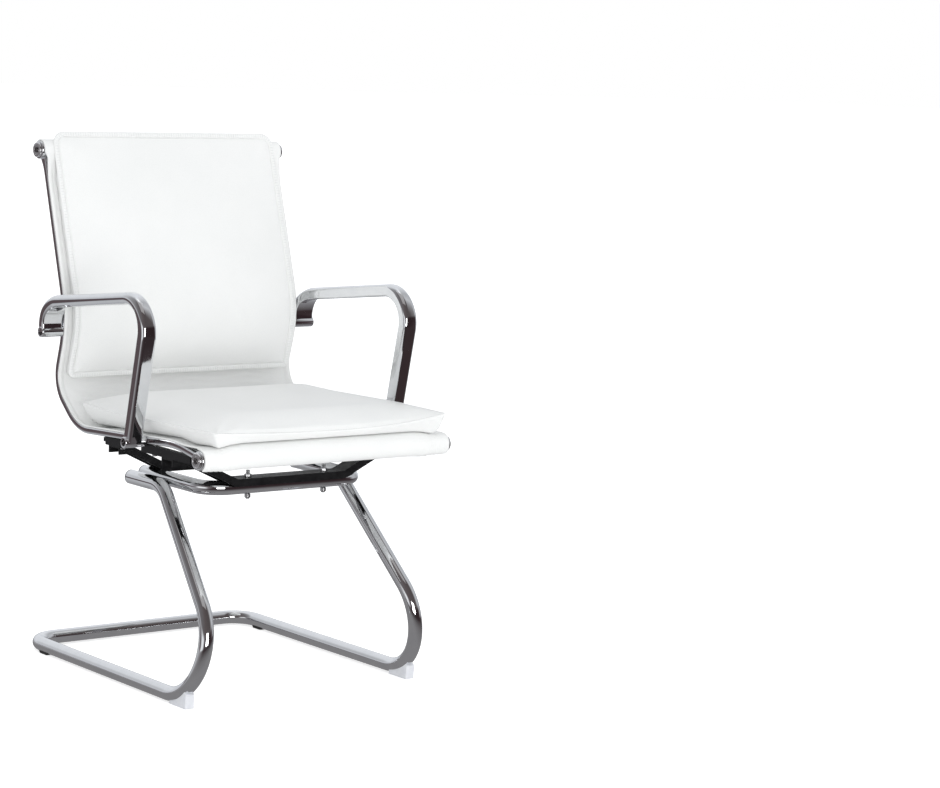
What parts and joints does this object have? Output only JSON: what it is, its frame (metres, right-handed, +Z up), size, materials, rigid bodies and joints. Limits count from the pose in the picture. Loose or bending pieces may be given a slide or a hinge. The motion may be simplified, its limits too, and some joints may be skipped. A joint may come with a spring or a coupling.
{
  "type": "sled base visitor chair",
  "caption": "Cantilever visitor chair: chromed sled base, chromed side rails with closed arm loops, and a white leatherette sling with a sewn back pad and a pillow seat pad.",
  "frame": {"origin": "on the floor, below the middle of the chair's overall box", "axes": "+Z up, -Y towards the front of the seat, +X towards the side that is on the right when the chair is seen from the front"},
  "size_m": [0.57, 0.634, 0.936],
  "materials": {
    "leatherette": "white leatherette, soft satin, lightly wrinkled",
    "foam": "matt cream foam, hidden inside the front roll",
    "zinc": "zinc plated, dull",
    "black_steel": "black powder coat, satin",
    "clear_plastic": "milky translucent, smooth",
    "black_plastic": "black, matt",
    "grey_plastic": "mid grey, satin",
    "chrome": "bright mirror chrome"
  },
  "bodies": {
    "root": {"sled_tube": "chrome", "cradle_tube": "chrome", "front_roll_tube": "zinc", "top_roll_tube": "zinc", "front_roll_foam": "foam", "sling": "leatherette", "back_pad": "leatherette", "seat_pad": "leatherette", "front_channel": "black_steel", "rear_channel": "black_steel", "side_rail_left": "chrome", "armrest_left": "chrome", "side_bar_left": "black_steel", "mount_plate_left": "black_steel", "front_glide_left": "clear_plastic", "rear_glide_left": "black_plastic", "leg_plug_left": "grey_plastic", "cradle_plug_left": "grey_plastic", "top_cap_left": "chrome", "top_cap_screw_left": "zinc", "front_cap_left": "chrome", "front_cap_screw_left": "zinc", "arm_screw_front_left": "zinc", "arm_screw_rear_left": "zinc", "frame_screw_front_left": "zinc", "frame_screw_rear_left": "zinc", "side_rail_right": "chrome", "armrest_right": "chrome", "side_bar_right": "black_steel", "mount_plate_right": "black_steel", "front_glide_right": "clear_plastic", "rear_glide_right": "black_plastic", "leg_plug_right": "grey_plastic", "cradle_plug_right": "grey_plastic", "top_cap_right": "chrome", "top_cap_screw_right": "zinc", "front_cap_right": "chrome", "front_cap_screw_right": "zinc", "arm_screw_front_right": "zinc", "arm_screw_rear_right": "zinc", "frame_screw_front_right": "zinc", "frame_screw_rear_right": "zinc", "stud_left": "zinc", "sleeve_nut_left": "zinc", "lock_nut_left": "zinc", "stud_right": "zinc", "sleeve_nut_right": "zinc", "lock_nut_right": "zinc"}
  },
  "joints": []
}
